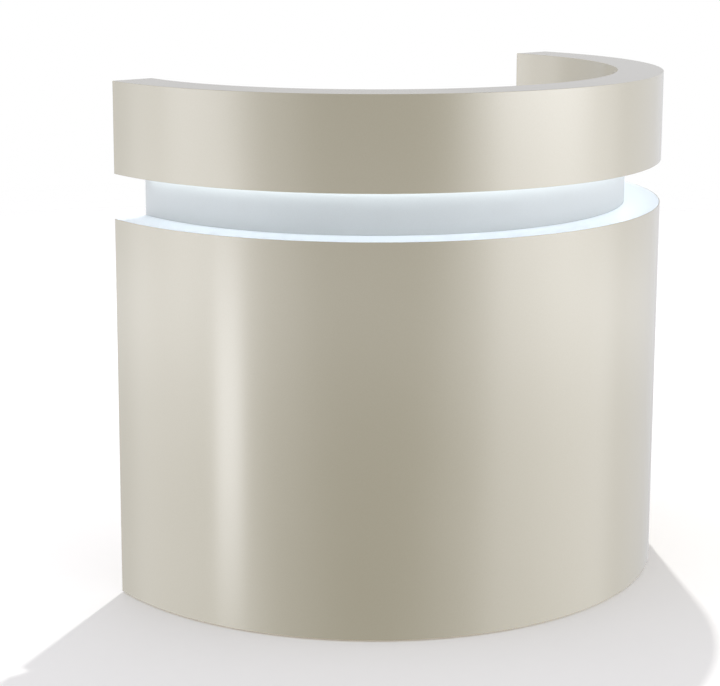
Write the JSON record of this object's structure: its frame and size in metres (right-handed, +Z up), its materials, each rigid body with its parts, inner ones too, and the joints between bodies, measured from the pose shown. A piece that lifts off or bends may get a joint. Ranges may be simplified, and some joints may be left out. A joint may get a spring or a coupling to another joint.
{
  "type": "checkout counter",
  "caption": "Half-round checkout counter with a lit recess under its upper ring, a staff worktop, a lockable drawer and a cupboard.",
  "frame": {"origin": "on the floor, under the middle of the counter's bounding box", "axes": "+X to the right as a customer sees it from behind the counter's front, +Y towards the staff, +Z up; the customer side faces -Y"},
  "size_m": [1.3, 0.725, 1.11],
  "materials": {
    "lacquer": "high-gloss champagne lacquer with a fine metallic flake over bent board",
    "white_lacquer": "satin white lacquer",
    "liner_grey": "satin pale grey lacquer",
    "laminate": "pale warm laminate on board",
    "board": "raw medium-density fibreboard",
    "softwood": "planed softwood",
    "drawer_board": "foil-wrapped drawer board",
    "aluminium": "satin anodised extrusion",
    "led_strip": "flexible white strip with light-emitting diodes",
    "diffuser": "opal diffuser, lit cool white",
    "lead": "white two-core lead",
    "black_plastic": "fine-textured moulded plastic",
    "grey_plastic": "fine-textured moulded plastic",
    "steel": "brushed, zinc plated"
  },
  "bodies": {
    "counter": {"front_skin": "lacquer", "left_end_cap": "lacquer", "right_end_cap": "lacquer", "ring_outer_skin": "lacquer", "ring_inner_skin": "lacquer", "ring_top": "lacquer", "ring_left_cap": "lacquer", "ring_right_cap": "lacquer", "ledge_cap": "white_lacquer", "ring_soffit": "white_lacquer", "recess_liner": "liner_grey", "inner_skin": "laminate", "worktop": "laminate", "pedestal_left_side": "laminate", "pedestal_right_side": "laminate", "pedestal_back": "laminate", "pedestal_bottom": "laminate", "pedestal_shelf": "laminate", "pedestal_divider": "laminate", "base_rib": "board", "middle_rib": "board", "top_rib": "board", "ring_web_1": "board", "ring_web_2": "board", "ring_web_3": "board", "stud_1": "softwood", "stud_2": "softwood", "stud_3": "softwood", "stud_4": "softwood", "worktop_cleat": "softwood", "led_channel": "aluminium", "led_strip": "led_strip", "led_diffuser": "diffuser", "led_lead": "lead", "driver_case": "black_plastic", "power_inlet": "black_plastic", "grommet_sleeve": "grey_plastic", "foot_1": "grey_plastic", "foot_2": "grey_plastic", "foot_3": "grey_plastic", "foot_4": "grey_plastic", "runner_left": "steel", "runner_right": "steel", "lock_strike": "steel", "hinge_fixed_leaf": "steel", "hinge_pin": "steel"},
    "drawer": {"drawer_front": "laminate", "drawer_left_side": "drawer_board", "drawer_right_side": "drawer_board", "drawer_back": "drawer_board", "drawer_bottom": "drawer_board", "drawer_handle": "steel", "slide_left": "steel", "slide_right": "steel"},
    "lock": {"lock_barrel": "steel"},
    "door": {"cupboard_door": "laminate", "door_handle": "steel", "hinge_moving_leaf": "steel"},
    "switch": {"light_switch": "grey_plastic"},
    "grommet": {"grommet_cap": "grey_plastic"}
  },
  "joints": [
    {"name": "drawer_slide", "type": "slide", "parent": "counter", "child": "drawer", "axis": [0, 1, 0], "range_m": [0, 0.21]},
    {"name": "lock_turn", "type": "hinge", "parent": "drawer", "child": "lock", "pos_m": [0.26, 0.2803, 0.69], "axis": [0, -1, 0], "range_deg": [0, 90]},
    {"name": "door_swing", "type": "hinge", "parent": "counter", "child": "door", "pos_m": [0.4345, 0.28, 0.33], "axis": [0, 0, -1], "range_deg": [0, 110]},
    {"name": "switch_rock", "type": "hinge", "parent": "counter", "child": "switch", "pos_m": [-0.3, 0.267, 0.697], "axis": [1, 0, 0], "range_deg": [-14, 0]},
    {"name": "grommet_turn", "type": "hinge", "parent": "counter", "child": "grommet", "pos_m": [-0.36, 0.06, 0.74], "axis": [0, 0, 1], "range_deg": [0, 180]}
  ]
}
